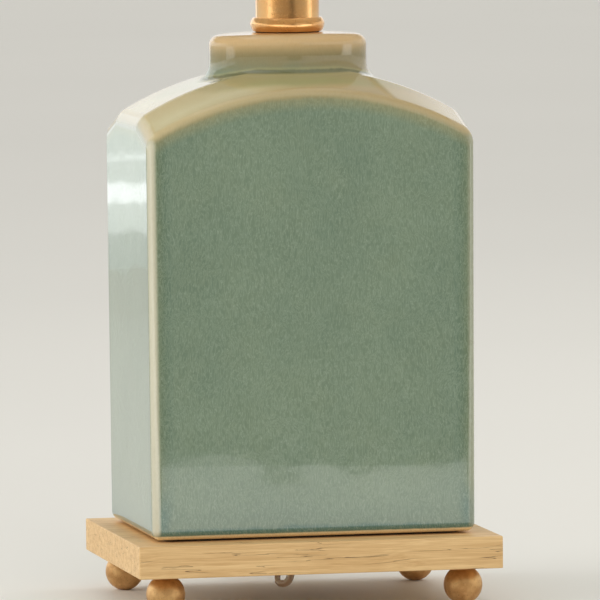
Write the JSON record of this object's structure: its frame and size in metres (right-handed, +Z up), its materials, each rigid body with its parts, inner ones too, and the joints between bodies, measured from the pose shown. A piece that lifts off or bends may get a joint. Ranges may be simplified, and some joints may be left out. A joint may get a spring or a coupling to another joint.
{
  "type": "table lamp",
  "caption": "Table lamp: rectangular glazed ginger jar on a wooden base with ball feet, with stem, lamp holder, harp, shade and cord.",
  "frame": {"origin": "on the table, under the axis of the jar and stem; the bottom centre of the lamp without its cord", "axes": "+X to the right along the jar's broad front, +Y to the rear, +Z up"},
  "size_m": [0.3812, 0.3525, 0.692],
  "materials": {
    "celadon_glaze": "glossy crackle glaze",
    "pale_wood": "satin, fine grain",
    "gilt_ball": "satin, antique",
    "satin_brass": "satin",
    "brass_plate": "bright plated",
    "zinc": "zinc plated",
    "aluminium": "bright",
    "black_plastic": "moulded",
    "rubber": "matt",
    "felt": "felt",
    "card": "plain",
    "frosted_glass": "frosted white",
    "shade_linen": "plain weave linen",
    "shade_liner": "matt white",
    "shade_trim": "folded linen",
    "cord_jacket": "clear over copper",
    "tie_paper": "paper band",
    "clip_plastic": "clear",
    "plug_plastic": "clear brown"
  },
  "bodies": {
    "base": {"ball_feet": "gilt_ball", "foot_studs": "zinc", "base_plate": "pale_wood", "base_felt": "felt", "jar_body": "celadon_glaze", "threaded_rod": "zinc", "bottom_washer": "zinc", "rod_nut": "zinc", "cord_bushing": "black_plastic", "neck_seat": "rubber", "neck_ring": "satin_brass", "neck_tube": "satin_brass", "tube_cap": "satin_brass", "harp_saddle": "brass_plate", "lock_nut": "brass_plate", "socket_cap": "brass_plate", "cap_screw": "zinc", "socket_shell": "brass_plate", "socket_insulator": "card", "switch_block": "black_plastic", "terminal_screws": "brass_plate", "screw_shell": "aluminium", "centre_contact": "brass_plate", "lead_wires": "cord_jacket", "inner_cord": "cord_jacket", "cord_run": "cord_jacket", "cord_coil": "cord_jacket", "cord_tail": "cord_jacket", "cord_tie": "tie_paper", "cord_clip": "clip_plastic", "clip_screws": "zinc", "plug_body": "plug_plastic", "plug_blades": "brass_plate"},
    "switch_key": {"switch_spindle": "zinc", "switch_knob": "black_plastic"},
    "bulb": {"bulb_glass": "frosted_glass", "bulb_cap": "aluminium", "bulb_insulator": "black_plastic", "bulb_tip": "aluminium"},
    "harp_frame": {"harp": "brass_plate"},
    "leg_sleeves": {"harp_sleeves": "brass_plate"},
    "top_swivel": {"harp_stud": "brass_plate"},
    "shade": {"shade_fabric": "shade_linen", "shade_liner": "shade_liner", "shade_trims": "shade_trim", "shade_spider": "brass_plate", "shade_bottom_ring": "brass_plate"},
    "finial_knob": {"finial": "satin_brass"}
  },
  "joints": [
    {"name": "switch_turn", "type": "hinge", "parent": "base", "child": "switch_key", "pos_m": [0, 0, 0.4568], "axis": [0, -1, 0], "continuous": true},
    {"name": "bulb_unscrew", "type": "slide", "parent": "base", "child": "bulb", "axis": [0, 0, 1], "range_m": [0, 0.026]},
    {"name": "harp_lift", "type": "slide", "parent": "base", "child": "harp_frame", "axis": [0, 0, 1], "range_m": [0, 0.025]},
    {"name": "sleeve_lift", "type": "slide", "parent": "harp_frame", "child": "leg_sleeves", "axis": [0, 0, 1], "range_m": [0, 0.014]},
    {"name": "shade_swivel", "type": "hinge", "parent": "harp_frame", "child": "top_swivel", "pos_m": [0, 0, 0.6564], "axis": [0, 0, 1], "continuous": true},
    {"name": "shade_lift", "type": "slide", "parent": "top_swivel", "child": "shade", "axis": [0, 0, 1], "range_m": [0, 0.03]},
    {"name": "finial_unscrew", "type": "slide", "parent": "shade", "child": "finial_knob", "axis": [0, 0, 1], "range_m": [0, 0.02]}
  ]
}
